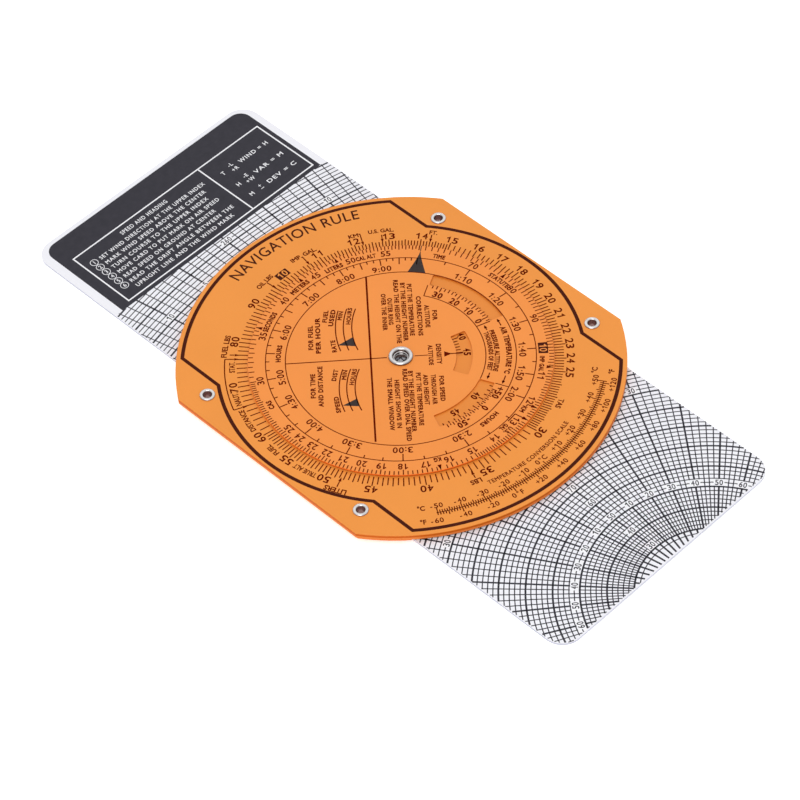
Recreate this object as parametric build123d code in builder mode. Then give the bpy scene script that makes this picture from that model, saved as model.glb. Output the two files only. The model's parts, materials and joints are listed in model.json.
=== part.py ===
"""Circular slide rule with a sliding wind card, in millimetres.

The body is a sandwich of plastic sheets. Two front sheets carry a fixed round sheet of window
scales, and over it a computing disc that turns on a hollow rivet. Two back sheets hold a compass
ring and a clear plotting disc, which turn together. Spacers between the front and the back leave a
channel, in which the long wind card slides.

The origin is on the pivot axis, in the plane of the back face. +Z points out of the computing
side, and +Y runs along the card towards its formula panel.
"""

import os

from build123d import *

# Body outline: a round sheet with two straight sides
body_radius = 72.0
body_half_width = 60.0
body_corner_radius = 1.5
spacer_inset = 1.0
back_inset = 3.0
edge_chamfer = 0.12

# Sheet thicknesses, and the heights at which the sheets lie
back_plate_thickness = 0.9
back_liner_thickness = 0.8
channel_height = 1.5
front_liner_thickness = 1.0
front_plate_thickness = 1.0
back_liner_z = back_plate_thickness
channel_z = back_liner_z + back_liner_thickness
front_liner_z = channel_z + channel_height
front_plate_z = front_liner_z + front_liner_thickness
front_face_z = front_plate_z + front_plate_thickness
running_gap = 0.05

# Fixed sheet of window scales, the slip washer on it, and the computing disc
scale_sheet_radius = 46.0
scale_sheet_thickness = 0.5
slip_washer_radius = 12.0
slip_washer_thickness = 0.06
slip_washer_z = front_face_z + scale_sheet_thickness
disc_radius = 48.8
disc_thickness = 0.5
disc_z = slip_washer_z + slip_washer_thickness + running_gap
disc_top_z = disc_z + disc_thickness

# Windows of the computing disc: inner and outer radius, then start and end, clockwise from +Y
altitude_window = (32.1, 36.8, 62.1, 108.6)
airspeed_window = (26.9, 32.1, 157.4, 203.0)
density_window = (17.7, 22.9, 108.2, 156.7)
window_corner_radius = 0.5

# Wind card, which lies loose in its channel
card_width = 96.0
card_length = 239.0
card_thickness = 0.8
card_corner_radius = 7.0
card_centre_y = 4.3
card_side_gap = 0.2
card_z = channel_z + running_gap
channel_half_width = card_width / 2 + card_side_gap

# Compass ring and plotting disc on the back
seat_radius = 54.3
plotting_disc_radius = seat_radius - 0.08
plotting_disc_z = back_liner_z + running_gap
plotting_disc_thickness = 0.7
back_opening_radius = 50.4
ring_outer_radius = back_opening_radius - 0.1
ring_inner_radius = 44.0
ring_z = 0.1

# Hollow rivet at the pivot
pivot_bore_radius = 2.5
pivot_tube_radius = 2.85
pivot_flange_radius = 3.95
pivot_flange_height = 0.8
pivot_set_radius = 4.1
pivot_washer_radius = 4.8
pivot_washer_thickness = 0.3
pivot_recess_radius = 5.4
pivot_running_fit = 0.05

# Corner eyelets, at the corners of a rectangle
eyelet_x = 52.4
eyelet_y = 34.4
eyelet_bore_radius = 1.4
eyelet_tube_radius = 1.7
eyelet_flange_radius = 2.5
eyelet_flange_height = 0.45
eyelet_set_radius = 2.5
eyelet_washer_radius = 3.0
eyelet_washer_thickness = 0.2
eyelet_recess_radius = 3.2
set_roll_height = 0.5

# Both kinds of rivet: how the flange rolls over, in flange heights, and the rolled end's fillets
flange_foot_fillet = 0.05
flange_rim_roll = 0.7
flange_mouth_roll = 0.8
roll_fillets = [0.15, 0.2, 0.1]


def body_outline(inset):
    """Draw the body's outline in the open sketch, moved in by the inset."""
    Circle(body_radius - inset)
    outline = Rectangle(2 * (body_half_width - inset), 2 * body_radius, mode=Mode.INTERSECT)
    fillet(outline.vertices(), body_corner_radius)


def eyelet_holes(radius):
    """Cut the four corner holes in the open sketch."""
    with GridLocations(2 * eyelet_x, 2 * eyelet_y, 2, 2):
        Circle(radius, mode=Mode.SUBTRACT)


def round_hole(radius):
    """Cut a hole on the pivot axis in the open sketch."""
    Circle(radius, mode=Mode.SUBTRACT)


def window(inner_radius, outer_radius, start, end):
    """Cut a curved window in the open sketch, between two clockwise angles."""
    with BuildSketch(mode=Mode.PRIVATE) as opening:
        with BuildLine():
            inner = CenterArc((0, 0), inner_radius, 90 - end, end - start)
            outer = CenterArc((0, 0), outer_radius, 90 - end, end - start)
            Line(inner @ 0, outer @ 0)
            Line(inner @ 1, outer @ 1)
        make_face()
        fillet(opening.vertices(), window_corner_radius)
    add(opening.sketch, mode=Mode.SUBTRACT)


def rivet(place, bore, tube, flange, flange_z, flange_height, set_radius, set_z):
    """Revolve a hollow rivet in the open part: a rolled flange, a tube and a rolled end."""
    crown = flange_z + flange_height
    foot = set_z - set_roll_height
    rim, mouth = flange_rim_roll * flange_height, flange_mouth_roll * flange_height
    section_plane = Plane(origin=(*place, 0), x_dir=(1, 0, 0), z_dir=(0, -1, 0))
    with BuildSketch(section_plane, mode=Mode.PRIVATE) as section:
        with BuildLine():
            head = FilletPolyline(
                (tube, flange_z),
                (flange, flange_z),
                (flange, crown),
                (bore, crown),
                (bore, set_z),
                radius=[flange_foot_fillet, rim, mouth],
            )
            roll = FilletPolyline(
                (bore, set_z),
                (bore, foot),
                (set_radius, foot),
                (set_radius, set_z),
                (tube, set_z),
                radius=roll_fillets,
            )
            Line(roll @ 1, head @ 0)
        make_face()
    revolve(section.sketch, axis=Axis((*place, 0), (0, 0, 1)))


os.makedirs("parts", exist_ok=True)

# Front plate: the sheet that carries the fixed scales
with BuildPart() as front_plate:
    with BuildSketch(Plane.XY.offset(front_plate_z)):
        body_outline(0)
        eyelet_holes(eyelet_tube_radius)
        round_hole(pivot_tube_radius)
    extrude(amount=front_plate_thickness)
    top_edges = front_plate.faces().sort_by(Axis.Z)[-1].outer_wire().edges()
    chamfer(top_edges, edge_chamfer)
front_plate.part.label = "front_plate"
export_step(front_plate.part, "parts/front_plate.step")

# Front liner: the sheet under it, opened round the rivet's rolled end
with BuildPart() as front_liner:
    with BuildSketch(Plane.XY.offset(front_liner_z)):
        body_outline(0)
        eyelet_holes(eyelet_tube_radius)
        round_hole(pivot_recess_radius)
    extrude(amount=front_liner_thickness)
    bottom_edges = front_liner.faces().sort_by(Axis.Z)[0].outer_wire().edges()
    chamfer(bottom_edges, edge_chamfer)
front_liner.part.label = "front_liner"
export_step(front_liner.part, "parts/front_liner.step")

# Fixed round sheet glued to the front plate, whose scales show through the disc's windows
with BuildPart() as scale_sheet:
    with BuildSketch(Plane.XY.offset(front_face_z)):
        Circle(scale_sheet_radius)
        round_hole(pivot_tube_radius)
    extrude(amount=scale_sheet_thickness)
scale_sheet.part.label = "scale_sheet"
export_step(scale_sheet.part, "parts/scale_sheet.step")

# Slip washer between that sheet and the computing disc
with BuildPart() as disc_washer:
    with BuildSketch(Plane.XY.offset(slip_washer_z)):
        Circle(slip_washer_radius)
        round_hole(pivot_tube_radius)
    extrude(amount=slip_washer_thickness)
disc_washer.part.label = "disc_washer"
export_step(disc_washer.part, "parts/disc_washer.step")

# Computing disc with its three windows
with BuildPart() as computer_disc:
    with BuildSketch(Plane.XY.offset(disc_z)):
        Circle(disc_radius)
        round_hole(pivot_tube_radius + pivot_running_fit)
        window(*altitude_window)
        window(*airspeed_window)
        window(*density_window)
    extrude(amount=disc_thickness)
    rim_edge = computer_disc.faces().sort_by(Axis.Z)[-1].outer_wire().edges()
    chamfer(rim_edge, edge_chamfer)
computer_disc.part.label = "computer_disc"
export_step(computer_disc.part, "parts/computer_disc.step")

# Hollow rivet on which the computing disc turns
with BuildPart() as centre_eyelet:
    rivet(
        (0, 0),
        pivot_bore_radius,
        pivot_tube_radius,
        pivot_flange_radius,
        disc_top_z + running_gap,
        pivot_flange_height,
        pivot_set_radius,
        front_plate_z - pivot_washer_thickness,
    )
centre_eyelet.part.label = "centre_eyelet"
export_step(centre_eyelet.part, "parts/centre_eyelet.step")

# Washer between the front plate and the rivet's rolled end
with BuildPart() as centre_washer:
    with BuildSketch(Plane.XY.offset(front_plate_z - pivot_washer_thickness)):
        Circle(pivot_washer_radius)
        round_hole(pivot_tube_radius)
    extrude(amount=pivot_washer_thickness)
centre_washer.part.label = "centre_washer"
export_step(centre_washer.part, "parts/centre_washer.step")

# Spacers: the two strips beside the card
spacer_sides = {"left_spacer": -1, "right_spacer": 1}
for spacer_name, side in spacer_sides.items():
    with BuildPart() as spacer:
        with BuildSketch(Plane.XY.offset(channel_z)):
            body_outline(spacer_inset)
            with Locations((side * (channel_half_width + body_radius / 2), 0)):
                Rectangle(body_radius, 2 * body_radius, mode=Mode.INTERSECT)
            eyelet_holes(eyelet_tube_radius)
        extrude(amount=channel_height)
    spacer.part.label = spacer_name
    export_step(spacer.part, f"parts/{spacer_name}.step")

# Wind card
with BuildPart() as wind_slide:
    with BuildSketch(Plane.XY.offset(card_z)):
        with Locations((0, card_centre_y)):
            RectangleRounded(card_width, card_length, card_corner_radius)
    extrude(amount=card_thickness)
wind_slide.part.label = "wind_slide"
export_step(wind_slide.part, "parts/wind_slide.step")

# Back liner: the sheet with the round seat of the plotting disc
with BuildPart() as back_liner:
    with BuildSketch(Plane.XY.offset(back_liner_z)):
        body_outline(back_inset)
        eyelet_holes(eyelet_tube_radius)
        round_hole(seat_radius)
    extrude(amount=back_liner_thickness)
back_liner.part.label = "back_liner"
export_step(back_liner.part, "parts/back_liner.step")

# Back plate: its smaller opening keeps the plotting disc in its seat
with BuildPart() as back_plate:
    with BuildSketch():
        body_outline(back_inset)
        eyelet_holes(eyelet_recess_radius)
        round_hole(back_opening_radius)
    extrude(amount=back_plate_thickness)
    outer_edges = back_plate.faces().sort_by(Axis.Z)[0].outer_wire().edges()
    chamfer(outer_edges, edge_chamfer)
back_plate.part.label = "back_plate"
export_step(back_plate.part, "parts/back_plate.step")

# Plotting disc: clear, and frosted so that a pencil marks it
with BuildPart() as plotting_disc:
    with BuildSketch(Plane.XY.offset(plotting_disc_z)):
        Circle(plotting_disc_radius)
    extrude(amount=plotting_disc_thickness)
plotting_disc.part.label = "plotting_disc"
export_step(plotting_disc.part, "parts/plotting_disc.step")

# Compass ring, glued to the plotting disc's outer face
with BuildPart() as azimuth_ring:
    with BuildSketch(Plane.XY.offset(ring_z)):
        Circle(ring_outer_radius)
        round_hole(ring_inner_radius)
    extrude(amount=plotting_disc_z - ring_z)
azimuth_ring.part.label = "azimuth_ring"
export_step(azimuth_ring.part, "parts/azimuth_ring.step")

# Corner eyelets and the washers under their rolled ends, inside the back plate's holes
corners = {
    "front_left": (-eyelet_x, -eyelet_y),
    "front_right": (eyelet_x, -eyelet_y),
    "rear_left": (-eyelet_x, eyelet_y),
    "rear_right": (eyelet_x, eyelet_y),
}
for corner, place in corners.items():
    with BuildPart() as eyelet:
        rivet(
            place,
            eyelet_bore_radius,
            eyelet_tube_radius,
            eyelet_flange_radius,
            front_face_z,
            eyelet_flange_height,
            eyelet_set_radius,
            back_liner_z - eyelet_washer_thickness,
        )
    eyelet.part.label = f"eyelet_{corner}"
    export_step(eyelet.part, f"parts/eyelet_{corner}.step")

    with BuildPart() as eyelet_washer:
        with BuildSketch(Plane.XY.offset(back_liner_z - eyelet_washer_thickness)):
            with Locations(place):
                Circle(eyelet_washer_radius)
                Circle(eyelet_tube_radius, mode=Mode.SUBTRACT)
        extrude(amount=eyelet_washer_thickness)
    eyelet_washer.part.label = f"eyelet_washer_{corner}"
    export_step(eyelet_washer.part, f"parts/eyelet_washer_{corner}.step")
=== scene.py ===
"""A circular navigation slide rule: its printing, finishes, light and camera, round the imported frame."""

import json
import math
from functools import cache

import bpy
import numpy as np
from mathutils import Matrix, Vector


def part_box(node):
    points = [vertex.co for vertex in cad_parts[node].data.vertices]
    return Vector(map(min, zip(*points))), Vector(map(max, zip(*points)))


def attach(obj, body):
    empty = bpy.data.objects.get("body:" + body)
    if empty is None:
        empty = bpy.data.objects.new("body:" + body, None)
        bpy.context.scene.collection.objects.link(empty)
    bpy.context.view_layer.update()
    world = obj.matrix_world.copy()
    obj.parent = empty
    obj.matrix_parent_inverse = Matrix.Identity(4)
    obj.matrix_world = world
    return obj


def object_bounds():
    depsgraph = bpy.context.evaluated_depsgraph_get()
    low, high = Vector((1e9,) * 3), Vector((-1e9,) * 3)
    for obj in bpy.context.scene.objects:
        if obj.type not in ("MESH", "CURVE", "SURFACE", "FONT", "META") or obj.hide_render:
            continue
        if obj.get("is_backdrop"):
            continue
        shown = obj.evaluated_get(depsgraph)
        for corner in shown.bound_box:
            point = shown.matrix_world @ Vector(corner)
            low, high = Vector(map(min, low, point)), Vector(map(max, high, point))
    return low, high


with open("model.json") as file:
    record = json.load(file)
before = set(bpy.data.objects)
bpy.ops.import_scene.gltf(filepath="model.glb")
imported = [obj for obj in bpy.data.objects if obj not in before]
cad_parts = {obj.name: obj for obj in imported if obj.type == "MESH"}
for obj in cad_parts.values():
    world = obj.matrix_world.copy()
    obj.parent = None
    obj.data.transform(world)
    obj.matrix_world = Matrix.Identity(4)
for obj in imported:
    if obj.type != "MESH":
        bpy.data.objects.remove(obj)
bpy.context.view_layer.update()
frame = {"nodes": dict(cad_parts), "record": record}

# Lengths below are in millimetres. Angles are in degrees, clockwise from the top of the rule.
MM = 0.001
# How thick ink is, and how far it sinks into its sheet.
INK, SINK = 0.02, 0.01
# How far a straight facet may cut inside its arc.
BOW = 0.008

DISC_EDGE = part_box("computer_disc")[1].x / MM
CARD_LOW, CARD_HIGH = (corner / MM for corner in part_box("wind_slide"))
# Where the 10 of the turning scale stands.
DISC_TURN = 132.5

# Widths of printed lines.
FINE, LINE, SLIM, THIN = 0.28, 0.3, 0.34, 0.37
# How wide letters are for their height, and how much ink spreads round them, in font units.
WORD_STRETCH, WORD_BOLDNESS, NUMBER_BOLDNESS = 0.92, 0.03, 0.019
# How many facets a letter's curves have, and how blunt its sharpest mitre is kept.
LETTER_FACETS, MITRE_FLOOR = 3, 0.8
# The 1 of the scales, which has a flag: its path and its weight, in heights.
ONE, ONE_WEIGHT = ((-0.24, 0.2), (0.08, 0.42), (0.08, -0.5)), 0.19
# The part of its slot that a digit fills, and the slot of a colon, in digits.
DIGIT_FILL, COLON_SLOT = 0.84, 0.5

# The divisions of a decade from 10 to 100: from, to, and how many in each unit.
DECADE = ((10, 15, 10), (15, 30, 5), (30, 60, 2), (60, 100, 1))
# How far from an arrow a tick has to stand.
ARROW_ROOM = 0.7


# ---- places ----


def level(node, side):
    """The height of a node's underside (0) or top (1)."""
    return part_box(node)[side].z / MM


def polar(radius, angle):
    return radius * math.sin(math.radians(angle)), radius * math.cos(math.radians(angle))


def bent(radius, angle, way):
    """Bends flat points round the centre, with their tops outward (1) or inward (-1)."""

    def place(points):
        turn = math.radians(angle) + way * points[:, 0] / radius
        reach = radius + way * points[:, 1]
        return np.column_stack((reach * np.sin(turn), reach * np.cos(turn)))

    return place


def heads_out(radius, angle):
    return bent(radius, angle, 1)


def heads_in(radius, angle):
    return bent(radius, angle, -1)


def straight(x, y, lean=0.0):
    """Puts flat points at a place, turned anticlockwise by lean."""
    c, s = math.cos(math.radians(lean)), math.sin(math.radians(lean))

    def place(points):
        return points @ np.array(((c, s), (-s, c))) + (x, y)

    return place


def decade_angle(value):
    """Where a value from 10 to 100 stands on a full turn of a logarithmic scale."""
    return 360 * math.log10(value / 10)


def tick_reach(value, large, long, middle, short):
    """How long a tick is: long at each large step, middle at each half of one."""
    return long if value % large == 0 else middle if value % (large / 2) == 0 else short


def round_points(radius, start, end, centre=(0, 0)):
    """Points round a circle, close enough together for it to look round."""
    facet = 2 * math.degrees(math.acos(1 - BOW / radius))
    angles = np.linspace(start, end, max(1, math.ceil(abs(end - start) / facet)) + 1)
    return [np.add(centre, polar(radius, angle)) for angle in angles]


# ---- objects ----


def placed(name, held):
    """A new object of the scene, which holds a mesh, a lamp or a camera."""
    made = bpy.data.objects.new(name, held)
    bpy.context.scene.collection.objects.link(made)
    return made


def meshed(name, points, faces, material, smooth=False):
    """A new mesh object with one material."""
    mesh = bpy.data.meshes.new(name)
    mesh.from_pydata((np.asarray(points) * MM).tolist(), [], faces)
    mesh.polygons.foreach_set("use_smooth", [smooth] * len(faces))
    mesh.materials.append(material)
    return placed(name, mesh)


# ---- letters ----


@cache
def letters(words, boldness=0.0, spacing=1.0):
    """Flat letters that stand on y = 0: their points, faces and outer edges."""
    curve = bpy.data.curves.new("letters", "FONT")
    curve.body, curve.fill_mode = words, "FRONT"
    curve.resolution_u, curve.space_character = LETTER_FACETS, spacing
    holder = bpy.data.objects.new("letters", curve)
    mesh = bpy.data.meshes.new_from_object(holder)
    points = np.array([v.co[:2] for v in mesh.vertices])
    caps = [tuple(face.vertices) for face in mesh.polygons]
    bpy.data.objects.remove(holder)
    bpy.data.curves.remove(curve)
    bpy.data.meshes.remove(mesh)
    caps, walls = outward(points, caps)
    return bolder(points, walls, boldness), caps, walls


def outward(points, caps):
    """The faces turned anticlockwise, and the edges that only one of them has, in its direction."""
    turned = []
    for cap in caps:
        x, y = points[list(cap)].T
        area = np.dot(x, np.roll(y, -1)) - np.dot(y, np.roll(x, -1))
        turned.append(cap if area > 0 else cap[::-1])
    directed = {(a, b) for cap in turned for a, b in zip(cap, cap[1:] + cap[:1])}
    return turned, [(a, b) for a, b in directed if (b, a) not in directed]


def bolder(points, walls, growth):
    """The points moved out from the letters by growth, each along the mitre of its two edges."""
    starts, ends = np.array(walls).T
    ahead = points[ends] - points[starts]
    ahead /= np.linalg.norm(ahead, axis=1)[:, None]
    out = np.column_stack((ahead[:, 1], -ahead[:, 0]))
    both = np.zeros_like(points)
    np.add.at(both, starts, out)
    np.add.at(both, ends, out)
    return points + growth * 2 * both / np.maximum((both**2).sum(1), MITRE_FLOOR)[:, None]


# ---- prints ----


class Print:
    """Ink on one flat face, gathered into one closed mesh. Its shapes are drawn as the reader of
    that face sees them: facing is 1 on a face that looks up and -1 on one that looks down."""

    def __init__(self, height, facing=1, thickness=INK):
        self.height, self.facing, self.thickness = height, facing, thickness
        self.points, self.faces, self.total = [], [], 0

    def shape(self, outline, caps, walls):
        """Closed ink of a flat shape: its points, its faces and its outer edges."""
        outline = np.asarray(outline, float)
        count, front = len(outline), self.total
        back = front + count
        for rise in (self.thickness, -SINK):
            heights = np.full(count, self.height + self.facing * rise)
            self.points.append(np.column_stack((outline * (self.facing, 1), heights)))
        self.faces += [[front + i for i in cap] for cap in caps]
        self.faces += [[back + i for i in reversed(cap)] for cap in caps]
        self.faces += [(back + a, back + b, front + b, front + a) for a, b in walls]
        self.total += 2 * count

    def fill(self, corners):
        """A solid shape with one outline."""
        corners = np.asarray(corners, float)
        caps, walls = outward(corners, [tuple(range(len(corners)))])
        self.shape(corners, caps, walls)

    def stroke(self, path, width, closed=False):
        """A line along a path, mitred where it turns."""
        path = np.asarray(path, float)
        ahead = np.roll(path, -1, 0) - path
        if not closed:
            ahead[-1] = ahead[-2]
        ahead /= np.linalg.norm(ahead, axis=1)[:, None]
        left = np.column_stack((-ahead[:, 1], ahead[:, 0]))
        before = np.roll(left, 1, 0)
        if not closed:
            before[0] = left[0]
        mitre = (left + before) / (1 + (left * before).sum(1))[:, None]
        count = len(path)
        outline = np.vstack((path - mitre * width / 2, path + mitre * width / 2))
        pairs = [(i, (i + 1) % count) for i in range(count if closed else count - 1)]
        caps = [(i, j, count + j, count + i) for i, j in pairs]
        walls = pairs + [(count + j, count + i) for i, j in pairs]
        if not closed:
            walls += [(count, 0), (count - 1, 2 * count - 1)]
        self.shape(outline, caps, walls)

    def arc(self, radius, start, end, width, centre=(0, 0)):
        self.stroke(round_points(radius, start, end, centre), width)

    def circle(self, radius, width, centre=(0, 0)):
        self.stroke(round_points(radius, 0, 360, centre)[:-1], width, closed=True)

    def tick(self, angle, inner, outer, width=THIN):
        """A straight line on a radius."""
        self.stroke((polar(inner, angle), polar(outer, angle)), width)

    def block(self, inner, outer, start, end):
        """A filled piece of a ring."""
        self.fill(round_points(outer, start, end) + round_points(inner, end, start))

    def pointer(self, angle, tip, base, half_width):
        """A small solid triangle on a radius."""
        spread = math.degrees(half_width / base)
        self.fill((polar(tip, angle), polar(base, angle - spread), polar(base, angle + spread)))

    def text(self, words, place, height, width=None, boldness=WORD_BOLDNESS, spacing=1.0):
        """Words centred on place(0, 0). Their height is that of their capitals."""
        points, caps, walls = letters(words, boldness, spacing)
        low, high = points[:, 0].min(), points[:, 0].max()
        capital = letters("H")[0][:, 1].max()
        across = width / (high - low) if width else height / capital * WORD_STRETCH
        flat = (points - ((low + high) / 2, capital / 2)) * (across, height / capital)
        self.shape(place(flat), caps, walls)

    def number(self, digits, place, height, pitch, boldness=NUMBER_BOLDNESS):
        """Digits and signs in slots of one width, as a scale sets them."""
        slots = [pitch * (COLON_SLOT if digit == ":" else 1) for digit in digits]
        left = -sum(slots) / 2
        for digit, slot in zip(digits, slots):
            middle = left + slot / 2
            left += slot

            def at_slot(points, middle=middle):
                return place(points + (middle, 0))

            if digit == "1":
                self.stroke(at_slot(np.array(ONE) * height), ONE_WEIGHT * height)
            else:
                width = DIGIT_FILL * slot if digit.isdigit() else None
                self.text(digit, at_slot, height, width, boldness=boldness)

    def curved(self, words, start, end, radius, height, **style):
        """Words that fill the arc from start to end. They stand heads in where end is under start."""
        place = (heads_out if end > start else heads_in)(radius, (start + end) / 2)
        self.text(words, place, height, math.radians(abs(end - start)) * radius, **style)

    def shift(self, x, y):
        """Moves all that is drawn so far."""
        for block in self.points:
            block[:, :2] += (self.facing * x, y)

    def trim(self, low, high, margin):
        """Pulls in what hangs over the straight edges of a sheet."""
        for block in self.points:
            np.clip(block[:, 0], low.x + margin, high.x - margin, out=block[:, 0])
            np.clip(block[:, 1], low.y + margin, high.y - margin, out=block[:, 1])

    def made(self, name, body, finish):
        """The mesh as a piece that rides on a body."""
        piece = meshed(name, np.vstack(self.points), self.faces, finishes[finish])
        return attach(piece, body)


# ---- materials ----

# Finishes that share the record slot of another.
# The centre eyelet lies within the first distance from the pivot, and the others beyond the second.
PIVOT_REACH = 20, 30
# The disc's windows lie within the first distance from the pivot, and no outer rim within the second.
WINDOW_REACH = 40, 44
# Painted shade on the cut walls of the disc's windows.
WINDOW_WALL_SHADE = (0.66, 0.17, 0.02)
BLACK = (0, 0, 0)


class Nodes:
    """The shader nodes of a material or of the world, and short ways to add to them."""

    def __init__(self, owner):
        owner.use_nodes = True
        self.nodes, self.links = owner.node_tree.nodes, owner.node_tree.links
        self.place = self.nodes.new("ShaderNodeTexCoord")

    def node(self, kind, **inputs):
        made = self.nodes.new(kind)
        for socket, value in inputs.items():
            target = made.inputs[socket.replace("_", " ")]
            if isinstance(value, bpy.types.NodeSocket):
                self.links.new(value, target)
            else:
                target.default_value = value
        return made

    def spread(self, value, low, high, start=0.3, end=0.7):
        """A value that runs from low to high while the given one runs from start to end."""
        ends = {"From_Min": start, "From_Max": end, "To_Min": low, "To_Max": high}
        return self.node("ShaderNodeMapRange", Value=value, **ends).outputs["Result"]


class Finish(Nodes):
    """A material with one Principled shader, and short ways to drive its sockets."""

    def __init__(self, name, **values):
        self.material = bpy.data.materials.new(name)
        super().__init__(self.material)
        self.shader = self.nodes["Principled BSDF"]
        for socket, value in values.items():
            self.shader.inputs[socket.replace("_", " ")].default_value = value

    def noise(self, scale, detail=3.0, roughness=0.5):
        """Cloudy values, with scale features to a metre."""
        values = {"Scale": scale, "Detail": detail, "Roughness": roughness}
        place = self.place.outputs["Object"]
        return self.node("ShaderNodeTexNoise", Vector=place, **values).outputs["Fac"]

    def mix(self, amount, first, second):
        """The first colour at 0, the second at 1."""
        made = self.nodes.new("ShaderNodeMix")
        made.data_type = "RGBA"
        self.links.new(amount, made.inputs["Factor"])
        for socket, colour in zip((made.inputs[6], made.inputs[7]), (first, second)):
            if isinstance(colour, bpy.types.NodeSocket):
                self.links.new(colour, socket)
            else:
                socket.default_value = (*colour, 1)
        return made.outputs[2]

    def away(self, near, far):
        """0 nearer the pivot than near, 1 farther from it than far. Both are in millimetres."""
        reach = self.node("ShaderNodeVectorMath", Vector=self.place.outputs["Object"])
        reach.operation = "LENGTH"
        return self.spread(reach.outputs["Value"], 0, 1, near * MM, far * MM)

    def upright(self):
        """1 where a face is level, 0 where it is a cut edge."""
        split = self.node("ShaderNodeSeparateXYZ", Vector=self.place.outputs["Normal"])
        height = self.node("ShaderNodeMath", Value=split.outputs["Z"])
        height.operation = "ABSOLUTE"
        steep, level_enough = 0.35, 0.9
        return self.spread(height.outputs["Value"], 0, 1, steep, level_enough)

    def drive(self, socket, value):
        self.links.new(value, self.shader.inputs[socket])

    def cloudy(self, first, second, *noise):
        """A colour that drifts between two."""
        return self.mix(self.spread(self.noise(*noise), 0, 1), first, second)

    def rough(self, low, high, *noise):
        self.drive("Roughness", self.spread(self.noise(*noise), low, high))

    def bump(self, height, strength, distance):
        made = self.node("ShaderNodeBump", Height=height, Strength=strength, Distance=distance)
        self.drive("Normal", made.outputs["Normal"])


def orange_sheet(name, face, upper_painted_rim, lower_painted_rim):
    """Bright satin sheet, whose cut edges carry painted shade in their colour and a painted glow.

    Each rim is its painted shade colour and the colour of its painted glow. The upper one is that of
    the front plate and all above it. The edges of the windows get painted shade and no glow."""
    sheet = Finish(name, IOR=1.46, Emission_Strength=1.0)
    paler = tuple(min(1, channel * 1.04 + 0.003) for channel in face)
    darker = tuple(channel * 0.8 for channel in face)
    clouded = sheet.cloudy(face, paler, 45, 4)
    speckled = sheet.mix(sheet.spread(sheet.noise(2600, 2), 0, 0.1, 0.45, 0.75), clouded, darker)
    # Cut edges get painted shade in their base colour and a painted glow as emission; level faces get
    # neither. For the body, the sheets below the front plate get a lighter painted rim, as painted bounce
    # light.
    seam, blend = level("front_plate", 0) * MM, 0.1 * MM
    height = sheet.node("ShaderNodeSeparateXYZ", Vector=sheet.place.outputs["Object"]).outputs["Z"]
    above = sheet.spread(height, 0, 1, seam - blend, seam + blend)
    rim, glow = (sheet.mix(above, low, high) for low, high in zip(lower_painted_rim, upper_painted_rim))
    outer = sheet.away(*WINDOW_REACH)
    # The windows' cut walls take painted shade and no painted glow.
    rim = sheet.mix(outer, WINDOW_WALL_SHADE, rim)
    glow = sheet.mix(outer, BLACK, glow)
    sheet.drive("Base Color", sheet.mix(sheet.upright(), rim, speckled))
    sheet.drive("Emission Color", sheet.mix(sheet.upright(), glow, BLACK))
    sheet.drive("Specular IOR Level", sheet.spread(sheet.upright(), 0.06, 0.35, 0, 1))
    sheet.rough(0.3, 0.46, 90, 5, 0.6)
    sheet.bump(sheet.noise(2200, 3, 0.6), 0.12, 0.00004)
    return sheet.material


def white_card():
    """Smooth rolled plastic card, with painted shade along its cut edge, which is darker than its faces."""
    card = Finish("card", IOR=1.5, Coat_Weight=0.08)
    # Painted shade on the card's cut edge.
    edge = (0.43, 0.43, 0.52)
    face = card.cloudy((0.8, 0.8, 0.85), (0.84, 0.84, 0.885), 25, 3)
    card.drive("Base Color", card.mix(card.upright(), edge, face))
    card.rough(0.26, 0.4, 140, 4, 0.6)
    card.bump(card.noise(1500, 2), 0.08, 0.00003)
    return card.material


def frosted_clear():
    """Clear plastic rubbed matt, so that a pencil marks it."""
    frost = Finish("frosted_clear", Alpha=0.4, IOR=1.48)
    frost.drive("Base Color", frost.cloudy((0.84, 0.86, 0.86), (0.9, 0.91, 0.9), 60, 4))
    frost.rough(0.42, 0.62, 300, 4, 0.6)
    frost.bump(frost.noise(4200, 2, 0.7), 0.2, 0.00003)
    return frost.material


def nickel():
    """Bright pressed eyelets, with painted shade inside their bores and round their rims, tinted brown as a
    painted reflection of the orange sheets, most of all at the pivot.
    """
    metal = Finish("nickel", Metallic=1.0)
    bright = metal.cloudy((0.62, 0.61, 0.61), (0.78, 0.77, 0.77), 700, 3)
    # The dull colour is painted shade, tinted brown as a painted reflection of the orange sheets, on bore
    # walls and rims; it is darkest at the pivot eyelet.
    dull = metal.mix(metal.away(*PIVOT_REACH), (0.2, 0.14, 0.12), (0.42, 0.27, 0.25))
    metal.drive("Base Color", metal.mix(metal.upright(), dull, bright))
    metal.rough(0.14, 0.26, 1600, 4, 0.6)
    metal.bump(metal.noise(500, 2), 0.05, 0.00003)
    return metal.material


def slip_film():
    """Thin dull plastic of the washers."""
    film = Finish("washer_film", IOR=1.45)
    film.drive("Base Color", film.cloudy((0.76, 0.76, 0.72), (0.85, 0.85, 0.81), 500, 3))
    film.rough(0.5, 0.7, 1200, 3)
    return film.material


def ink(name, colour, worn, rough=(0.4, 0.6), gloss=0.15):
    """A printed colour, a little thinner in places."""
    made = Finish(name, IOR=1.45, Specular_IOR_Level=gloss)
    made.drive("Base Color", made.cloudy(colour, worn, 380, 4, 0.6))
    made.rough(*rough, 1400, 2)
    return made.material


# Painted shade colour and painted glow of each sheet's cut edges. For the body, the first pair is the front
# plate and all above it, and the second is the sheets below, lighter with painted bounce light.
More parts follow.
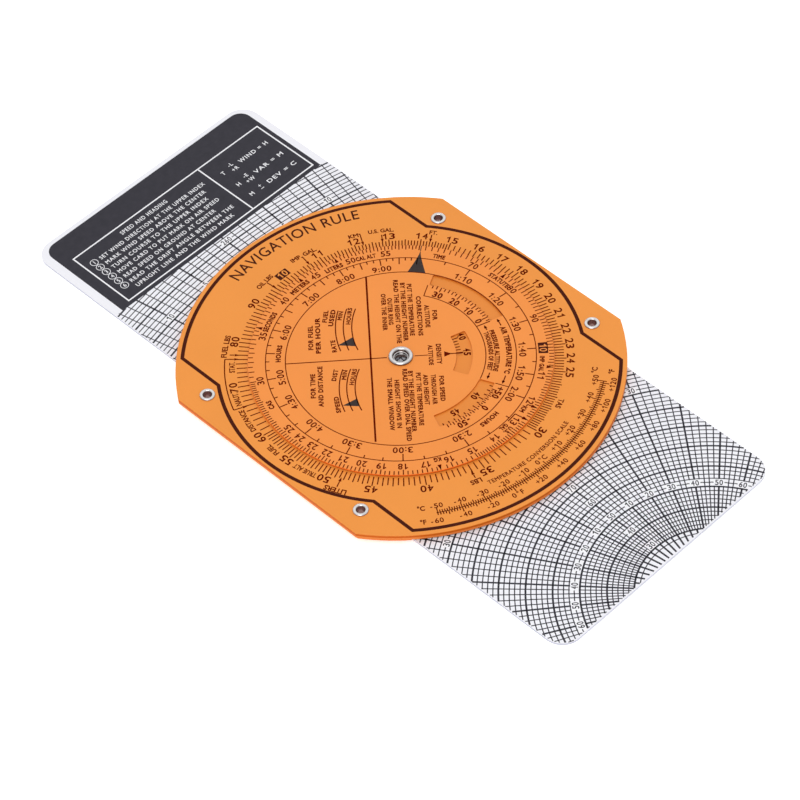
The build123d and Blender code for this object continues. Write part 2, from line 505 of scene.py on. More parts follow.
BODY_PAINTED_RIMS = ((0.37, 0.055, 0.001), (0.17, 0.045, 0.002)), ((0.5, 0.16, 0.035), (0.2, 0.03, 0.004))
DISC_PAINTED_RIM = ((0.62, 0.1, 0.003), (0.2, 0.015, 0.0))
SCALE_PAINTED_RIM = ((0.6, 0.11, 0.004), (0.05, 0.005, 0.0))
finishes = {
    "body_sheet": orange_sheet("body_sheet", (0.8, 0.275, 0.04), *BODY_PAINTED_RIMS),
    "disc_sheet": orange_sheet("disc_sheet", (0.83, 0.263, 0.045), DISC_PAINTED_RIM, DISC_PAINTED_RIM),
    "scale_sheet": orange_sheet("scale_sheet", (0.74, 0.232, 0.03), SCALE_PAINTED_RIM, SCALE_PAINTED_RIM),
    "card": white_card(),
    "frosted_clear": frosted_clear(),
    "nickel": nickel(),
    "washer_film": slip_film(),
    "ink": ink("ink", (0.1, 0.0045, 0.0005), (0.13, 0.008, 0.001), gloss=0.0),
    "heavy_ink": ink("heavy_ink", (0.055, 0.009, 0.004), (0.068, 0.013, 0.006), gloss=0.05),
    "mark_ink": ink("mark_ink", (0.03, 0.02, 0.018), (0.045, 0.03, 0.026), (0.3, 0.42), 0.2),
    "panel_ink": ink("panel_ink", (0.02, 0.019, 0.028), (0.028, 0.026, 0.037), (0.3, 0.42), 0.3),
    "white_ink": ink("white_ink", (0.82, 0.82, 0.86), (0.88, 0.88, 0.9), gloss=0.3),
}


def finish_frame():
    """Gives each CAD node the finish of its record slot."""
    for part in frame["record"]["subparts"]:
        mesh = frame["nodes"][part["node"]].data
        mesh.materials.clear()
        mesh.materials.append(finishes[part["material_slot"]])


# ---- front plate ----


def decade_ticks(printed, turn, radii, arrows=(), width=THIN):
    """The ticks of one decade, less those under arrows. The radii are that of their feet, and those
    of the tips of numbered, unit and smaller ticks."""
    foot, numbered, unit, smaller = radii
    for start, end, share in DECADE:
        for step in range(start * share, end * share):
            value = step / share
            whole = step % share == 0
            if whole and (value <= 25 or value % 5 == 0):
                reach = numbered
            elif whole or (share == 10 and step % 5 == 0):
                reach = unit
            else:
                reach = smaller
            angle = turn + decade_angle(value)
            if all(abs(math.remainder(angle - arrow, 360)) > ARROW_ROOM for arrow in arrows):
                printed.tick(angle, foot, reach, width)


def decade_numbers(printed, turn, radius, height, pitch, tens):
    """Each unit to 25, then each five to 55, then the tens."""
    for value in (*range(11, 26), *range(30, 60, 5), *tens):
        printed.number(str(value), heads_out(radius, turn + decade_angle(value)), height, pitch)


def front_outline():
    """The heavy line round the face: two big arcs, four short straights and two smaller arcs."""
    outline = Print(level("front_plate", 1))
    big, small, straight_x, width = 70.0, 58.65, 47.2, 1.2
    corner = math.degrees(math.asin(straight_x / big))
    shoulder = math.degrees(math.asin(straight_x / small))
    path = []
    for turn in (0, 180):
        path += round_points(big, turn - corner, turn + corner)
        path += round_points(small, turn + shoulder, turn + 180 - shoulder)
    outline.stroke(path, width, closed=True)
    outline.made("front_outline_ink", "housing", "heavy_ink")


def index_box(side, body, colour, face, turn, inner, outer, half_angle, pitch, boldness):
    """A dark box on a scale, in which its 10 has the colour of the sheet."""
    box = Print(face)
    box.block(inner, outer, turn - half_angle, turn + half_angle)
    box.made(f"{side}_index_box", body, "heavy_ink")
    ten = Print(face + INK)
    ten.number("10", heads_out((inner + outer) / 2, turn), 2.3, pitch, boldness)
    ten.made(f"{side}_index_number", body, colour)


def front_scale():
    """The fixed scale round the disc."""
    face, edge = level("front_plate", 1), DISC_EDGE
    scale = Print(face)
    decade_ticks(scale, 0, [edge + reach for reach in (0.2, 3.9, 3.6, 3.15)])
    decade_numbers(scale, 0, edge + 5.3, 2.5, 2.3, range(60, 100, 10))
    scale.made("front_scale_ink", "housing", "ink")
    ring = edge + 4.0, edge + 7.0
    index_box("front", "housing", "body_sheet", face, 0, *ring, 2.5, 1.9, NUMBER_BOLDNESS)


# Words outside the fixed scale: from, to, radius, capital height.
FRONT_WORDS = (
    ("OIL LBS", 350, 357.3, 56.6, 1.6),
    ("IMP. GAL.", 6.0, 15.8, 56.6, 1.6),
    ("KM", 27.6, 31, 56.7, 1.55),
    ("U.S. GAL.", 34.4, 43, 57.0, 1.55),
    ("FT.", 55, 57.8, 56.1, 1.6),
    ("TAS", 155.4, 159.6, 53.9, 1.7),
    ("LBS", 199, 202.8, 56.2, 1.7),
    ("LITERS", 242.6, 250, 57, 1.8),
    ("TRUE ALT", 254.4, 263.2, 54.2, 1.7),
    ("FUEL", 270.5, 275.6, 54.2, 1.7),
    ("DISTANCE", 283.6, 293.8, 54.2, 1.7),
    ("NAUT.", 296, 302, 54.1, 1.75),
    ("STAT.", 311.1, 316, 53.9, 1.7),
    ("FUEL LBS", 317.9, 327.5, 56.7, 1.7),
)
# Small arrows onto the fixed scale: angle, and the radius at which each starts.
FRONT_ARROWS = (
    (353.8, 55.8), (10.1, 56.1), (31.6, 57), (38.7, 55.1), (56, 55.1),
    (200.5, 54.8), (246.2, 55.6), (319.1, 54.9), (294.9, 56.3), (317.2, 56.3),
)
# Arcs that join two arrows, or an arrow and its name: radius, from, to.
FRONT_ARCS = ((56.3, 294.9, 317.2), (57, 31.1, 31.7))


def front_words():
    """Unit names, the title, and the arrows that tie the names to the scale."""
    title = Print(level("front_plate", 1))
    title.curved("NAVIGATION RULE", -10.6, 33, 65.9, 4.0, boldness=0.009, spacing=1.1)
    title.made("front_title_ink", "housing", "heavy_ink")

    words = Print(level("front_plate", 1))
    for text, start, end, radius, height in FRONT_WORDS:
        words.curved(text, start, end, radius, height)
    tip, base, half_width = 51.5, 53.3, 0.5
    for angle, start in FRONT_ARROWS:
        words.tick(angle, base + 0.1, start)
        words.pointer(angle, tip, base, half_width)
    for arc in FRONT_ARCS:
        words.arc(*arc, THIN)
    words.made("front_words_ink", "housing", "ink")


# The two units' names at the ends of the temperature scale: angle, and the radius of each.
UNIT_ENDS = ((218.1, 65.4, 70.8), (144.4, 64.3, 69.7))


def temperature_scale():
    """Celsius inside, Fahrenheit outside, along the lower edge. Its centre isn't the pivot."""
    scale = Print(level("front_plate", 1))
    radius, centre = 67.85, (0.94, 3.88)
    at_zero, per_degree = 181.0, -0.6593
    height, pitch = 1.75, 1.5
    lengths = 1.9, 1.5, 1.0

    def angle(celsius):
        return at_zero + per_degree * celsius

    scale.arc(radius, angle(-50.5), angle(50), FINE)
    for celsius in range(-50, 51):
        scale.tick(angle(celsius), radius - tick_reach(celsius, 10, *lengths), radius, SLIM)
        if celsius % 10 == 0:
            name = f"{celsius:+d}" if celsius else "0°C"
            scale.number(name, heads_in(radius - 2.75, angle(celsius)), height, pitch)
    for fahrenheit in range(-60, 123, 2):
        place = angle((fahrenheit - 32) / 1.8)
        if fahrenheit > -60:
            scale.tick(place, radius, radius + tick_reach(fahrenheit, 20, *lengths))
        if fahrenheit % 20 == 0:
            name = f"{fahrenheit:+d}" if fahrenheit else "0°F"
            scale.number(name, heads_in(radius + 3.1, place), height, pitch)
    for end, inner, outer in UNIT_ENDS:
        scale.text("°C", heads_in(inner, end), 1.7)
        scale.text("°F", heads_in(outer, end), 1.7)
    words = "TEMPERATURE CONVERSION SCALE"
    scale.curved(words, 197.7, 165.5, 62.4, 1.45, boldness=0.022, spacing=1.12)
    scale.shift(*centre)
    scale.made("temperature_scale_ink", "housing", "ink")


# The height scales under the windows: degrees to a step, where 40 stands, the last step, then the
# radii of the ticks' feet, their tips, the long ones' tips and the numbers.
HEIGHT_SCALES = (
    (3.7, 170.5, 50, 32.9, 30.7, 30.0, 28.8),
    (3.74, 111.5, 45, 17.4, 19.3, 20.0, 21.2),
)
HIGHEST_NUMBER = 45


def window_scales():
    """What shows through the disc's windows, printed round the sheet under it."""
    scales = Print(level("scale_sheet", 1))
    for pitch, at_forty, last, foot, short, long, numbers in HEIGHT_SCALES:
        for step in range(last + 1):
            angle = at_forty + (step - 40) * pitch
            scales.tick(angle, foot, short if step % 5 else long)
            if step % 5 == 0 and step <= HIGHEST_NUMBER:
                scales.number(str(step), heads_out(numbers, angle), 2.1, 1.65, boldness=0.04)
    at_zero, foot, short, long, numbers = 265, 33.0, 34.2, 34.7, 35.8
    for celsius in range(-60, 61, 5):
        angle = at_zero - celsius
        scales.tick(angle, foot, short if celsius % 20 else long)
        if celsius % 20 == 0:
            scales.number(f"{celsius:+d}" if celsius else "0", heads_out(numbers, angle), 1.6, 1.4)
    scales.made("window_scale_ink", "housing", "ink")


# ---- disc ----


def disc_scale():
    """The turning scale at the disc's edge, and the same times in hours inside it."""
    face, edge = level("computer_disc", 1), DISC_EDGE - 0.08
    numbers, outer_line, hours, inner_line = 45.4, 43.15, 38.8, 36.8
    scale = Print(face)
    decade_ticks(scale, DISC_TURN, (edge, edge - 2.0, edge - 1.9, edge - 1.5), DISC_ARROWS, SLIM)
    decade_numbers(scale, DISC_TURN, numbers, 2.2, 1.77, range(70, 100, 10))
    for radius in (outer_line, inner_line):
        scale.circle(radius, LINE)
    labelled = {*range(70, 121, 10), *range(150, 301, 30), *range(360, 541, 60)}
    for minute in (*range(60, 120, 5), *range(120, 601, 10)):
        angle = DISC_TURN + decade_angle(minute / 10)
        long = minute % 30 == 0 or minute in labelled
        scale.tick(angle, outer_line, 40.3 if long else 41.9)
        if minute in labelled:
            scale.number(f"{minute // 60}:{minute % 60:02d}", heads_out(hours, angle), 2.2, 1.89)
    scale.made("disc_scale_ink", "computing_disc", "ink")
    ring = 43.85, 46.95
    index_box("disc", "computing_disc", "disc_sheet", face, DISC_TURN, *ring, 2.9, 1.75, 0.005)


def disc_index():
    """The big hour index, with hollow sides and a rounded base."""
    index = Print(level("computer_disc", 1))
    base, tip, angle, half_spread = 36.9, 46.6, 53.35, 4.55
    hollow, steps = 1.5, 6
    outline = round_points(base, angle + half_spread, angle - half_spread)[1:-1]
    for step in range(-steps, steps + 1):
        down = abs(step) / steps
        aside = math.copysign(half_spread * down**hollow, step)
        outline.append(polar(tip - (tip - base) * down, angle + aside))
    index.fill(outline)
    index.tick(angle, tip - 0.1, DISC_EDGE - 0.1, LINE)
    index.made("disc_hour_index", "computing_disc", "mark_ink")


# Words between the disc's scale and its hours: from, to, radius, capital height.
DISC_WORDS = (
    ("METERS", -6, 3.9, 45.3, 1.65),
    ("LITERS", 12.3, 20.4, 45.0, 1.65),
    ("CAL ALT", 26.4, 35, 45.2, 1.6),
    ("TIME", 58.8, 64.1, 44.9, 1.6),
    ("STATUTE", 84.9, 95.5, 45.2, 1.6),
    ("IMP GAL", 136.9, 145.2, 45.0, 1.4),
    ("KM", 164.8, 168.2, 44.9, 1.5),
    ("U.S.", 176.8, 180.8, 46.2, 1.4),
    ("GAL", 176.8, 180.8, 44.3, 1.4),
    ("KG", 209, 212, 44.4, 1.5),
    ("CAS", 288.4, 293, 45.3, 1.6),
    ("SECONDS", 331, 342, 45.3, 1.65),
    ("HOURS", 174.1, 185.1, 38.8, 1.45),
    ("HOURS", 313.9, 324.5, 39.1, 1.45),
    ("AIR TEMPERATURE °C", 115.4, 149.2, 34.5, 1.6),
    ("PRESSURE ALTITUDE", 115.7, 148.8, 30.7, 1.45),
    ("THOUSANDS OF FEET", 115.7, 148.9, 28.75, 1.4),
)
# The angles of the arrows at the disc's edge.
DISC_ARROWS = (1.9, 18.9, 89.9, 142.5, 163.6, 170.4, 210.5, 332.3)
# Those whose tails bend: angle, the radius of the bent part, and its end.
BENT_TAILS = ((163.6, 45.2, 164.6), (170.4, 43.75, 175.3))
# Thin arrows beside the windows, along arcs: radius, tip, tail.
WINDOW_ARROWS = ((34.4, 109, 114.4), (34.4, 156.8, 150.7), (29.5, 110.1, 114.5), (29.2, 156.2, 150.7))
# Lines beside the windows, on radii: angle, from, to, width.
WINDOW_LINES = ((61.3, 27.0, 31.9, LINE), (157.5, 32.3, 36.8, LINE), (108.9, 27.2, 32.0, THIN))


def window_arrow(words, radius, tip, tail):
    """A thin arrow along an arc, whose head is at tip."""
    half, length = 0.55, 1.4
    back = tip + math.copysign(math.degrees(length / radius), tail - tip)
    words.arc(radius, (tip + back) / 2, tail, THIN)
    words.fill((polar(radius, tip), polar(radius - half, back), polar(radius + half, back)))


def window_marks(words):
    """The frames, arrows and scales printed beside the windows."""
    words.arc(27.1, 61.3, 157.2, LINE)
    for line in WINDOW_LINES:
        words.tick(*line)
    for arrow in WINDOW_ARROWS:
        window_arrow(words, *arrow)
    foot = 32.15
    for step in range(-1, 18):
        altitude = step / 5
        angle = 105.38 - 10.805 * altitude - 0.355 * altitude**2
        words.tick(angle, foot, 30.9 if step % 5 else 30.1)
        if step % 5 == 0:
            words.number(str(2 * step), heads_out(28.75, angle), 2.2, 1.8, boldness=0.035)
    for step in range(25):
        tens = step / 2
        angle = 162.2 + 2.39 * tens + 0.054 * tens**2
        inner, outer = (32.3, 33.0) if step % 2 else (foot, 33.5)
        words.tick(angle, inner, outer)
    for name, angle in (("+50", 163.2), ("0", 175.6), ("-50", 190)):
        words.number(name, heads_out(34.6, angle), 2.15, 1.75, boldness=0.04)


def disc_words():
    """Unit names, and the arrows that tie them to the scale."""
    words = Print(level("computer_disc", 1))
    for text, start, end, radius, height in DISC_WORDS:
        words.curved(text, start, end, radius, height, boldness=0.05, spacing=1.12)
    tip = DISC_EDGE - 0.15
    for angle in DISC_ARROWS:
        words.pointer(angle, tip, DISC_EDGE - 2.2, 0.65)
        words.tick(angle, DISC_EDGE - 1.6, tip, SLIM)
    for angle, radius, end in BENT_TAILS:
        words.tick(angle, radius, 46.7)
        words.arc(radius, angle, end, THIN)
    window_marks(words)
    words.made("disc_words_ink", "computing_disc", "ink")


# Words of the worked examples: words, centre, lean, capital height, length.
DISC_NOTES = (
    ("FOR FUEL", -13.9, 26.9, 47, 1.43, 10.4),
    ("PER HOUR", -11.6, 25.9, 47, 1.43, 15.4),
    ("FUEL", -4.2, 30, 39, 1.375, 5.2),
    ("USED", -3.2, 28.0, 38, 1.43, 7.2),
    ("MIN", -0.7, 26.7, 36, 1.265, 3.8),
    ("HOURS", 1.1, 24.5, 40, 1.32, 7.2),
    ("RATE", -11.4, 18.9, 53, 1.375, 5.2),
    ("FOR TIME", -27.7, 11.7, 47, 1.43, 10.2),
    ("AND DISTANCE", -26.2, 9.8, 47, 1.43, 17),
    ("DIST", -19.7, 9.9, 36, 1.375, 5),
    ("MIN", -17.6, 7.7, 38, 1.32, 4),
    ("HOURS", -16.3, 5.1, 36, 1.32, 6.8),
    ("SPEED", -27.9, 0.5, 53, 1.375, 6.8),
    ("DENSITY", 9.1, -8.1, 227.5, 1.43, 8.6),
    ("ALTITUDE", 7, -6.5, 227.5, 1.32, 8.6),
)
# The two blocks of notes in the lower half: words, centre, length.
LOWER_NOTES = (
    ("FOR SPEED", -0.6, -19, 10.6),
    ("THROUGH AIR", -2.6, -17.4, 12.6),
    ("AND HEIGHT", -4.4, -15.7, 12.8),
    ("PUT THE TEMPERATURE", -8.5, -16.9, 22),
    ("BY THE HEIGHT NUMBER", -10.8, -15.8, 25.4),
    ("READ SPEED OVER DIAL SPEED", -13.0, -15.6, 30),
    ("HEIGHT SHOWS IN", -14.6, -13.3, 20),
    ("THE SMALL WINDOW", -16.2, -11.6, 22),
    ("FOR", 20.1, 4.5, 4.4),
    ("ALTITUDE", 18.2, 6, 9.8),
    ("CORRECTIONS", 16.6, 7.9, 17.2),
    ("PUT THE TEMPERATURE", 16.6, 11.9, 22.6),
    ("BY THE HEIGHT NUMBER", 14.5, 12.8, 25.4),
    ("READ THE HEIGHT ON THE", 13.1, 14.5, 27.6),
    ("OUTER RING", 11.6, 16.2, 11.6),
    ("OVER THE INNER", 10, 17.4, 16),
)
# How both blocks lean, and their capital height.
LOWER_STYLE = 227.5, 1.375
# Concentric lines of the worked examples: a point on the first, then the ends of each.
BENT_LINES = (
    (
        (-7.2, 22.2),
        (((-11.3, 15.8), (0.4, 28.8)), ((-9.3, 14.1), (2.7, 27.6)), ((-7.2, 12.1), (4.3, 26.3))),
    ),
    (
        (-23.4, 4.2),
        (((-28.3, -3.3), (-16.3, 9.8)), ((-26.4, -4.9), (-14.6, 8.4)), ((-24.3, -6.8), (-12.7, 6.2))),
    ),
)


def circle_through(first, middle, last):
    """Centre of the circle through three points."""
    chords = np.subtract((middle, last), first)
    return first + np.linalg.solve(2 * chords, (chords**2).sum(1))


def bent_lines(printed, middle, ends):
    """Concentric lines, each between its two ends. The first passes through middle."""
    centre = circle_through(ends[0][0], middle, ends[0][1])
    for pair in ends:
        start, end = (math.degrees(math.atan2(x - centre[0], y - centre[1])) for x, y in pair)
        printed.arc(math.dist(pair[0], centre), start, end, THIN, centre)


def disc_diagrams():
    """The two worked examples, the two blocks of notes, and the lines that part them."""
    notes = Print(level("computer_disc", 1))
    lower = [note[:3] + LOWER_STYLE + note[3:] for note in LOWER_NOTES]
    for words, x, y, lean, height, length in (*DISC_NOTES, *lower):
        notes.text(words, straight(x, y, lean), height, length, boldness=0.045, spacing=1.15)
    for middle, ends in BENT_LINES:
        bent_lines(notes, middle, ends)
    inner, outer = 4.4, 36.8
    notes.tick(DISC_TURN + 180, inner, outer, 0.36)
    notes.tick(DISC_TURN, inner, 8.7, LINE)
    notes.tick(DISC_TURN, 15.8, 19.7)
    notes.stroke(((-30.5, -19.1), (17.1, 32.8)), 0.6)
    tip, base, spread = 16.3, 13.9, 4.6
    corners = (tip, 0), (base, -spread), (base, spread)
    notes.fill([polar(radius, DISC_TURN + turn) for radius, turn in corners])
    notes.made("disc_notes_ink", "computing_disc", "ink")

    marks = Print(level("computer_disc", 1))
    marks.fill(((-10.2, 18.2), (-4.5, 17.2), (-6.5, 13.7)))
    marks.fill(((-27.0, -1.0), (-21.8, -2.2), (-23.5, -5.2)))
    marks.made("disc_marks", "computing_disc", "mark_ink")


# ---- the rivet ----


def pivot_rings():
    """The two rolled rings that show inside the hollow rivet, one under the other."""
    bore, bead, inset = 2.5, 0.28, 0.196
    steps, turns = 10, 48
    for number, drop in enumerate((1.15, 2.1)):
        middle = level("centre_eyelet", 1) - drop
        points, faces = [], []
        for turn in range(turns):
            ahead = (turn + 1) % turns * steps
            for step in range(steps):
                rise, out = polar(bead, 360 * step / steps)
                points.append((*polar(bore - inset + out, 360 * turn / turns), middle + rise))
                after = (step + 1) % steps
                faces.append((turn * steps + step, turn * steps + after, ahead + after, ahead + step))
        ring = meshed(f"pivot_ring_{number}", points, faces, finishes["nickel"], smooth=True)
        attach(ring, "housing")


# ---- the card ----

CARD_X = CARD_HIGH.x
CARD_MIDDLE_Y = (CARD_LOW.y + CARD_HIGH.y) / 2
CARD_CORNER = 7.0
# The point from which the grid spreads, and the widths of its lines.
GRID_CENTRE = (-0.5, CARD_LOW.y - 18.3)
GRID_FINE, GRID_HEAVY = 0.35, 0.6
# Its layers, each thicker than the one before: thickness, name and finish.
GRID_LAYERS = (
    (0.015, "grid_fine", "panel_ink"),
    (0.018, "grid_heavy", "panel_ink"),
    (0.024, "number_gaps", "white_ink"),
    (0.032, "numbers", "panel_ink"),
)
# How far inside the card's outline its lines end, how low they go, and how far inside all ink ends.
GRID_MARGIN, GRID_FOOT, GRID_TRIM = 0.3, CARD_LOW.y + 0.55, 0.08
PANEL_LOW, PANEL_HIGH, PANEL_LEFT, PANEL_RIGHT = 83.0, 122.1, -44.8, 45.3


def within_card(margin, foot, top):
    """A test for points inside the card's rounded outline, less a margin, between foot and top."""
    half_x = CARD_X - margin
    half_y = (CARD_HIGH.y - CARD_LOW.y) / 2 - margin
    corner = CARD_CORNER - margin

    def test(x, y):
        across = max(abs(x) - half_x + corner, 0)
        up = max(abs(y - CARD_MIDDLE_Y) - half_y + corner, 0)
        return math.hypot(across, up) <= corner and foot <= y <= top

    return test


def kept_spans(point, start, end, step, allowed):
    """The stretches of a line, given by point(t), on which allowed holds."""
    count, halvings = max(2, math.ceil((end - start) / step)), 14
    places = np.linspace(start, end, count + 1)
    inside = [allowed(*point(t)) for t in places]
    spans, begin = [], start if inside[0] else None
    for a, b, was, now in zip(places, places[1:], inside, inside[1:]):
        if was != now:
            low, high = a, b
            for _ in range(halvings):
                half = (low + high) / 2
                low, high = (half, high) if allowed(*point(half)) == was else (low, half)
            if now:
                begin = low
            else:
                spans.append((begin, low))
    return spans + ([(begin, end)] if inside[-1] else [])


class WindGrid:
    """Speed arcs and angle lines that spread from one point below the card.

    unit is the length of one step of speed, and top the highest place of a line. bands are lowest
    and highest speed, pitch of lines and of heavy lines. arcs are pitch, pitch of heavy arcs and
    lowest speed. labels are the pitch of speeds, then the rings of angles: speed, pitch, last."""

    def __init__(self, height, facing, unit, top, bands, arcs, labels):
        self.unit, self.bands, self.arcs, self.labels = unit, bands, arcs, labels
        self.highest = (CARD_HIGH.y - GRID_CENTRE[1]) / unit
        self.allowed = within_card(GRID_MARGIN, GRID_FOOT, top)
        self.layers = [Print(height, facing, layer[0]) for layer in GRID_LAYERS]
        self.fine, self.heavy, self.patches, self.numbers = self.layers

    def spot(self, speed, angle):
        return np.add(GRID_CENTRE, polar(speed * self.unit, angle))

    def line(self, strong):
        """The layer and the width of a line."""
        return (self.heavy, GRID_HEAVY) if strong else (self.fine, GRID_FINE)

    def speed_arcs(self):
        step, heavy_step, lowest = self.arcs
        for speed in range(lowest, int(self.highest), step):
            printed, width = self.line(speed % heavy_step == 0)
            for start, end in kept_spans(lambda t: self.spot(speed, t), -80, 80, 1.0, self.allowed):
                if end - start > 0.05:
                    printed.arc(speed * self.unit, start, end, width, GRID_CENTRE)

    def angle_lines(self):
        for lowest, highest, pitch, heavy_pitch in self.bands:
            for angle in range(-90 + 90 % pitch, 91, pitch):
                printed, width = self.line(angle % heavy_pitch == 0)
                spans = kept_spans(lambda t: self.spot(t, angle), lowest, highest, 3, self.allowed)
                for start, end in spans:
                    if end - start > 0.3:
                        printed.stroke((self.spot(start, angle), self.spot(end, angle)), width)

    def label(self, words, speed, angle):
        """A number in a white gap, between the arc of its speed and the second arc out. In a wide
        gap, the arc between the two shows on both sides of the number."""
        step = self.arcs[0] * self.unit
        x, y = np.add(GRID_CENTRE, polar(speed * self.unit + step, angle))
        if not (self.allowed(x * 1.02, y) and self.allowed(x, y + step)):
            return
        place = straight(x, y, -angle)
        height = 1.24 * step
        pitch = 0.66 * height
        half, room = pitch * len(words) / 2, 0.35
        wide = abs(angle) >= 30
        rise, reach = step - GRID_HEAVY / 2, half + (1.2 if wide else room)
        corners = ((-reach, -rise), (reach, -rise), (reach, rise), (-reach, rise))
        self.patches.fill(place(np.array(corners)))
        self.numbers.number(words, place, height, pitch, boldness=0.018)
        for side in (-1, 1) if wide else ():
            ends = np.array(((side * (half + room), 0.0), (side * reach, 0.0)))
            self.numbers.stroke(place(ends), GRID_FINE)

    def draw(self, name):
        self.speed_arcs()
        self.angle_lines()
        speed_step, angle_rings = self.labels
        for speed in range(speed_step * 2, int(self.highest), speed_step):
            if speed >= 30:
                self.label(str(speed), speed, 0)
        for speed, pitch, highest in angle_rings:
            for angle in range(pitch, highest + 1, pitch):
                for side in (-1, 1):
                    self.label(str(angle), speed, side * angle)
        for printed, (_, layer, finish) in zip(self.layers, GRID_LAYERS):
            printed.trim(CARD_LOW, CARD_HIGH, GRID_TRIM)
            printed.made(f"{name}_{layer}", "wind_card", finish)


def card_front():
    grid = WindGrid(
        level("wind_slide", 1), 1, 0.8175, PANEL_LOW,
        bands=((18, 30, 5, 5), (30, 150, 2, 10), (150, 272, 1, 5)),
        arcs=(2, 10, 28),
        labels=(10, ((50, 10, 60), (100, 10, 30), (150, 5, 15), (200, 5, 10), (250, 5, 10))),
    )
    grid.highest = 271
    grid.draw("card_front")


def card_back():
    grid = WindGrid(
        level("wind_slide", 0), -1, 0.409, CARD_HIGH.y,
        bands=((40, 60, 5, 10), (60, 200, 2, 10), (200, 628, 1, 5)),
        arcs=(5, 50, 40),
        labels=(20, ((100, 10, 60), (200, 10, 30), (300, 5, 20), (400, 5, 15), (500, 5, 10), (600, 5, 10))),
    )
    grid.draw("card_back")


# The steps: words, and how long each line is. The last line goes on from the sixth step.
PANEL_STEPS = (
    ("SET WIND DIRECTION AT THE UPPER INDEX", 46.9),
    ("MARK WIND SPEED ABOVE THE CENTER", 44.6),
    ("TURN COURSE TO THE UPPER INDEX", 43),
    ("MOVE CARD TO PUT MARK ON AIR SPEED", 45.2),
    ("READ SPEED ON GROUND AT CENTER", 40.8),
    ("READ THE DRIFT ANGLE BETWEEN THE", 46.2),
    ("UPRIGHT LINE AND THE WIND MARK", 43.6),
)
# The sums: height on the card, first term, its upper and lower change, and the rest.
PANEL_SUMS = (
    (104.2, "T", "-L", "+R", "WIND = H"),
    (96.7, "H", "-E", "+W", "VAR = M"),
    (90.25, "M", "+", "-", "DEV = C"),
)


def card_panel():
    """The dark panel at the top of the card, with its boxed steps and sums."""
    top = level("wind_slide", 1)
    panel = Print(top)
    corner = 4.5
    inner_y = PANEL_HIGH - corner
    right_corner = round_points(corner, 90, 0, (PANEL_RIGHT - corner, inner_y))
    left_corner = round_points(corner, 0, -90, (PANEL_LEFT + corner, inner_y))
    panel.fill([(PANEL_LEFT, PANEL_LOW), (PANEL_RIGHT, PANEL_LOW), *right_corner, *left_corner])
    panel.made("card_panel", "wind_card", "panel_ink")

    words = Print(top + INK)
    left, right, low, high, middle, rule = -40.5, 43.5, 84.8, 112.0, 15.7, 0.5
    words.stroke(((left, low), (right, low), (right, high), (left, high)), rule, closed=True)
    words.stroke(((middle, low + 0.2), (middle, high - 0.2)), rule)
    style = {"boldness": 0.012, "spacing": 1.22}
    words.text("SPEED AND HEADING", straight(-11.7, 109), 1.6, 20.5, **style)
    highest, pitch, numbered, bullet, start = 105.75, 2.97, 6, -36.8, -34.2
    for row, (sentence, length) in enumerate(PANEL_STEPS):
        y = highest - pitch * row
        words.text(sentence, straight(start + length / 2, y), 1.5, length, **style)
        if row < numbered:
            words.circle(1.35, 0.2, (bullet, y))
            words.text(str(row + 1), straight(bullet, y), 1.5, boldness=0.01)
    for y, first, over, under, rest in PANEL_SUMS:
        words.text(first, straight(20.3, y), 1.6, boldness=0.012)
        x, rise = 24.6, 0.75 if over == "+" else 1.3
        words.text(over, straight(x, y + rise), 1.5, **style)
        if under == "-":
            words.stroke(((x - 0.6, y - rise), (x + 0.6, y - rise)), 0.24)
        else:
            words.text(under, straight(x, y - rise), 1.5, **style)
        words.text(rest, straight(34.1, y), 1.6, 12.8, **style)
    words.made("card_panel_words", "wind_card", "white_ink")


# ---- the back ----


def compass_ring():
    """Degrees on the turning ring, clockwise as the reader of the back sees it."""
    ring = Print(level("azimuth_ring", 0), -1)
    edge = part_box("azimuth_ring")[1].x / MM - 0.2
    for degree in range(360):
        ring.tick(degree, edge - tick_reach(degree, 10, 2.8, 2.0, 1.4), edge)
        if degree % 10 == 0 and degree % 90:
            ring.text(str(degree), heads_out(edge - 4.3, degree), 1.6)
    for degree, name in zip(range(0, 360, 90), "NESW"):
        ring.text(name, heads_out(edge - 4.4, degree), 2.3, boldness=0.03)
    ring.made("compass_ring_ink", "compass", "ink")

    disc = Print(level("plotting_disc", 0), -1)
    disc.circle(0.75, 0.16)
    for degree in range(0, 360, 90):
        disc.tick(degree, 1.2, 3.2, FINE)
    disc.made("plotting_centre_mark", "compass", "ink")


def back_plate():
    """The fixed index and drift scale round the opening in the back."""
    plate = Print(0.0, -1)
    foot, names = 50.9, 58.2
    for degree in range(-50, 51):
        plate.tick(degree, foot, foot + tick_reach(degree, 10, 2.6, 1.9, 1.3))
        if degree and degree % 10 == 0:
            plate.text(str(abs(degree)), heads_out(foot + 4.2, degree), 1.7)
    plate.pointer(0, foot + 0.1, foot + 3.2, 1.5)
    plate.text("INDEX", heads_out(foot + 5, 0), 1.7)
    plate.curved("DRIFT LEFT", -34, -22, names, 1.6)
    plate.curved("DRIFT RIGHT", 21, 35, names, 1.6)
    plate.made("back_plate_ink", "housing", "ink")


# ---- light and camera ----


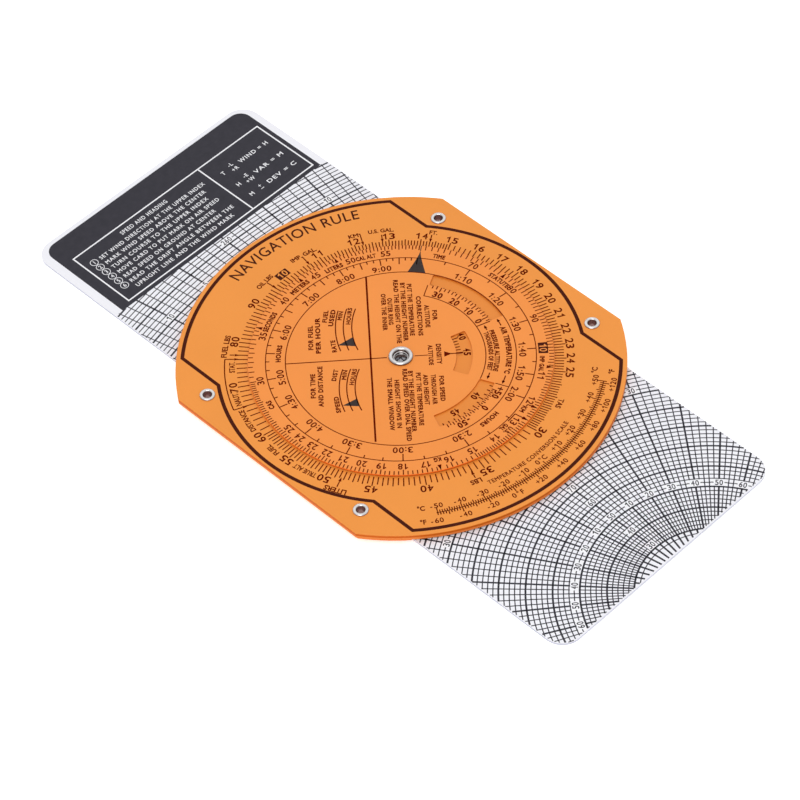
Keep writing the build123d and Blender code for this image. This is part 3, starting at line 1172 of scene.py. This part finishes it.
def floor(height):
    """A plain pale floor under the rule, which sweeps up a little a long way off."""
    turns, flat, bend, steepest = 96, 5000, 2000, 0.9
    sweep = np.linspace(0, steepest, 13)
    points, faces = [(0, 0, height)], []
    for t in sweep:
        reach, rise = flat + bend * math.sin(t), bend * (1 - math.cos(t))
        points += [(*polar(reach, 360 * turn / turns), height + rise) for turn in range(turns)]
    for turn in range(turns):
        after = (turn + 1) % turns
        faces.append((0, 1 + after, 1 + turn))
        for first in range(1, 1 + (len(sweep) - 1) * turns, turns):
            above = first + turns
            faces.append((first + turn, first + after, above + after, above + turn))
    paper = Finish("floor", Roughness=0.85, Emission_Color=(1, 1, 1, 1), Emission_Strength=0.45)
    paper.drive("Base Color", paper.cloudy((0.96, 0.96, 0.96), (0.97, 0.97, 0.97), 3, 2))
    surface = meshed("floor", points, faces, paper.material, smooth=True)
    surface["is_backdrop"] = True


def sun(name, strength, spread, azimuth, elevation):
    lamp = bpy.data.lights.new(name, "SUN")
    lamp.energy, lamp.angle = strength, math.radians(spread)
    placed(name, lamp).rotation_euler = (math.radians(90 - elevation), 0, math.radians(azimuth))


def studio():
    """Soft light from all round, most from above, and a little more from the upper left."""
    scene = bpy.context.scene
    scene.view_settings.view_transform = "Standard"
    scene.world = bpy.data.worlds.new("studio")
    sky = Nodes(scene.world)
    way = sky.node("ShaderNodeSeparateXYZ", Vector=sky.place.outputs["Generated"]).outputs["Z"]
    background = sky.nodes["Background"].inputs
    background["Color"].default_value = (1, 1, 1, 1)
    sky.links.new(sky.spread(way, 0.5, 0.72, 0.1, 0.75), background["Strength"])
    sun("key", strength=1.0, spread=40, azimuth=-60, elevation=62)
    sun("fill", strength=0.25, spread=60, azimuth=120, elevation=55)
    near = bpy.data.lights.new("near", "AREA")
    near.energy, near.size = 0.24, 0.3
    holder = placed("near", near)
    holder.location = (-0.33, -0.27, 0.26)
    holder.rotation_euler = holder.location.to_track_quat("Z", "Y").to_euler()
    holder.visible_camera = False


def camera():
    """The standing view: from the front left, turned a little on its axis."""
    view = bpy.data.cameras.new("camera")
    view.sensor_width, view.lens = 36.0, 154.6
    target = Vector((-12.45, -11.89, level("front_plate", 1))) * MM
    right = Vector((0.70233, -0.71077, -0.03926)).normalized()
    back = Vector((-0.44364, -0.48017, 0.75671)).normalized()
    axes = Matrix((right, back.cross(right), back)).transposed().to_4x4()
    distance = 1083 * MM
    holder = placed("camera", view)
    holder.matrix_world = Matrix.Translation(target + back * distance) @ axes
    bpy.context.scene.camera = holder


camera()
finish_frame()
front_outline()
front_scale()
front_words()
temperature_scale()
window_scales()
disc_scale()
disc_index()
disc_words()
disc_diagrams()
pivot_rings()
card_front()
card_panel()
card_back()
compass_ring()
back_plate()
floor(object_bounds()[0].z / MM - SINK)
studio()
